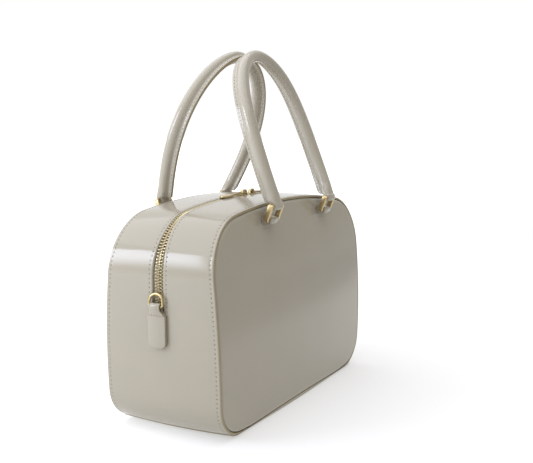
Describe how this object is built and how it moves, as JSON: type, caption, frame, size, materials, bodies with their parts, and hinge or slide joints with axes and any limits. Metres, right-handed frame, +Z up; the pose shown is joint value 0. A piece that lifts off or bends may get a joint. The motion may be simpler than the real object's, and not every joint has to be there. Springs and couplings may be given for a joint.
{
  "type": "bowler bag",
  "caption": "Boxy polished leather bowler bag with a zipped curved top, rolled top handles on metal rings and a tab with a D-ring over each end of the zip.",
  "frame": {"origin": "middle of the base's underside, on the surface that the bag stands on", "axes": "+Z up, +X along the bag's width towards its right end, +Y from the front panel towards the back panel"},
  "size_m": [0.2748, 0.1146, 0.2917],
  "materials": {
    "leather": "polished, glossy, smooth grain",
    "zip_tape": "woven, matt",
    "gold_metal": "polished, pale gold plated"
  },
  "bodies": {
    "bag": {"front_panel": "leather", "back_panel": "leather", "gusset": "leather", "base": "leather", "end_tab_left": "leather", "end_tab_right": "leather", "handle_front": "leather", "handle_back": "leather", "ring_loop_front_left": "leather", "ring_loop_front_right": "leather", "ring_loop_back_left": "leather", "ring_loop_back_right": "leather", "handle_ring_front_left": "gold_metal", "handle_ring_front_right": "gold_metal", "handle_ring_back_left": "gold_metal", "handle_ring_back_right": "gold_metal", "zip_tape_front": "zip_tape", "zip_tape_back": "zip_tape", "zip_chain_left": "gold_metal", "zip_chain_right": "gold_metal", "zip_slider_left": "gold_metal", "zip_slider_right": "gold_metal"},
    "zip_pull_left": {"zip_pull_left": "gold_metal"},
    "zip_pull_right": {"zip_pull_right": "gold_metal"},
    "d_ring_left": {"d_ring_left": "gold_metal"},
    "d_ring_right": {"d_ring_right": "gold_metal"}
  },
  "joints": [
    {"name": "zip_pull_left_turn", "type": "hinge", "parent": "bag", "child": "zip_pull_left", "pos_m": [-0.00733, 0, 0.17409], "axis": [0, 1, 0], "range_deg": [0, 100]},
    {"name": "zip_pull_right_turn", "type": "hinge", "parent": "bag", "child": "zip_pull_right", "pos_m": [0.00532, 0, 0.17411], "axis": [0, -1, 0], "range_deg": [0, 100]},
    {"name": "d_ring_left_turn", "type": "hinge", "parent": "bag", "child": "d_ring_left", "pos_m": [-0.13485, 0, 0.09994], "axis": [0, -1, 0], "range_deg": [0, 135]},
    {"name": "d_ring_right_turn", "type": "hinge", "parent": "bag", "child": "d_ring_right", "pos_m": [0.13485, 0, 0.09994], "axis": [0, 1, 0], "range_deg": [0, 135]}
  ]
}
